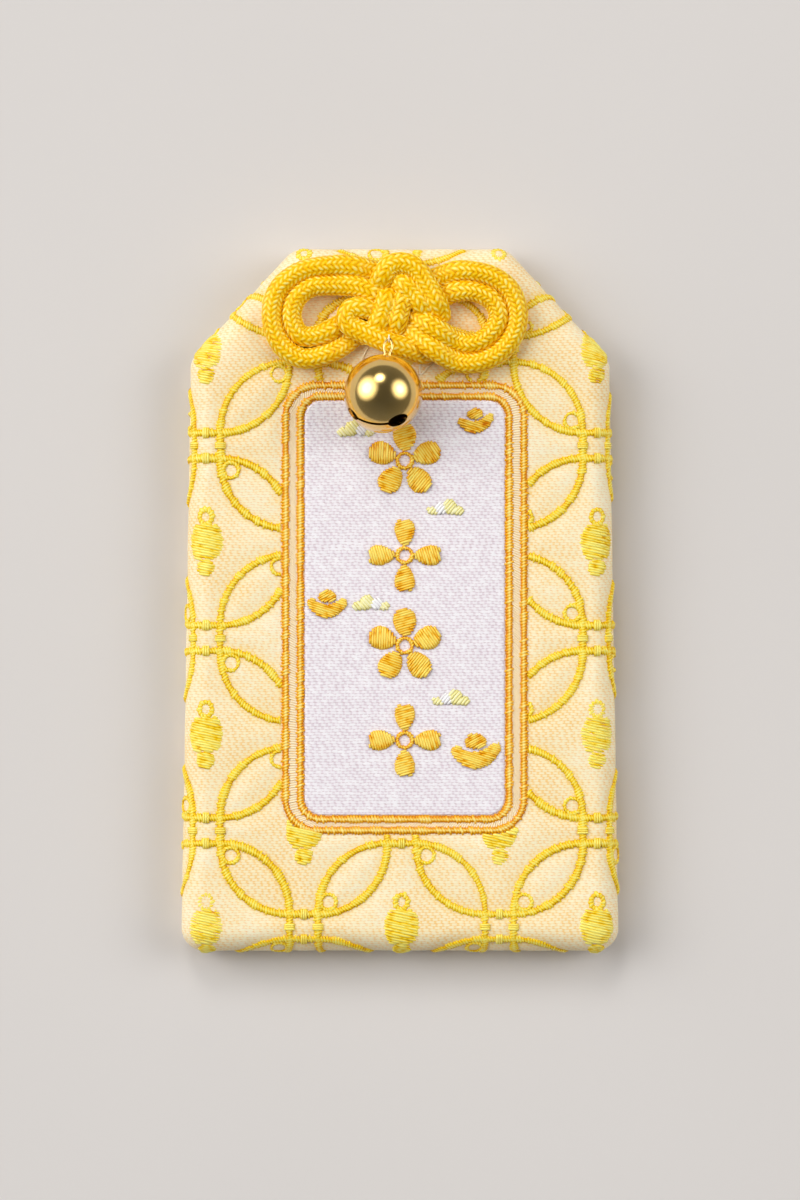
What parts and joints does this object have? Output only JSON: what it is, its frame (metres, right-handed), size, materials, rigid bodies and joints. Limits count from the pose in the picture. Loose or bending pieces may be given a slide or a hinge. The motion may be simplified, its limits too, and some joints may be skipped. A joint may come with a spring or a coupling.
{
  "type": "omamori charm",
  "caption": "Flat padded cloth pouch with chamfered top corners, a bordered embroidered centre, a sewn-on double-loop cord knot, a small hanging bell and a paper slip inside.",
  "frame": {"origin": "middle of the pouch's outline, on the back face that it lies on", "axes": "+Z out of the front face, +Y towards the chamfered top edge, +X to the right as seen from the front"},
  "size_m": [0.0562, 0.09, 0.0173],
  "materials": {
    "cloth": "cream stitched cloth with yellow line embroidery",
    "patch": "pale lavender satin fill stitch",
    "gold_thread": "gold satin stitch",
    "cord": "golden yellow braided cord",
    "clear_thread": "clear nylon thread",
    "seam_thread": "cream sewing thread",
    "wadding": "white non-woven wadding",
    "card": "grey board",
    "paper": "plain white paper",
    "brass": "polished gold-coloured brass",
    "steel": "plain steel ball"
  },
  "bodies": {
    "pouch": {"front_panel": "cloth", "back_panel": "cloth", "seam_thread": "seam_thread", "embroidery_backing": "wadding", "wadding_sheet": "wadding", "stiffener_card": "card", "centre_patch": "patch", "border_outer": "gold_thread", "border_inner": "gold_thread", "ingot_upper": "gold_thread", "ingot_middle": "gold_thread", "ingot_lower": "gold_thread", "emblem_1": "gold_thread", "emblem_2": "gold_thread", "emblem_3": "gold_thread", "emblem_4": "gold_thread", "knot_cord_outer": "cord", "knot_cord_inner": "cord", "tack_thread_left": "clear_thread", "tack_thread_right": "clear_thread"},
    "talisman": {"talisman_wrapper": "paper", "talisman_slip": "paper"},
    "bell_tie": {"bell_tie_thread": "clear_thread"},
    "bell": {"bell_upper_shell": "brass", "bell_lower_shell": "brass", "bell_eye": "brass"},
    "pea": {"bell_pea": "steel"}
  },
  "joints": [
    {"name": "talisman_slide", "type": "slide", "parent": "pouch", "child": "talisman", "axis": [0, 1, 0], "range_m": [0, 0.08]},
    {"name": "bell_sway", "type": "hinge", "parent": "pouch", "child": "bell_tie", "pos_m": [-0.0014, 0.0332, 0.0111], "axis": [0, 0, 1], "range_deg": [-30, 30]},
    {"name": "bell_lift", "type": "hinge", "parent": "bell_tie", "child": "bell", "pos_m": [-0.0014, 0.0332, 0.0111], "axis": [-1, 0, 0], "range_deg": [0, 115]},
    {"name": "pea_roll", "type": "hinge", "parent": "bell", "child": "pea", "pos_m": [-0.00212, 0.02612, 0.01235], "axis": [0.0993, 0.9799, -0.1728], "continuous": true}
  ]
}
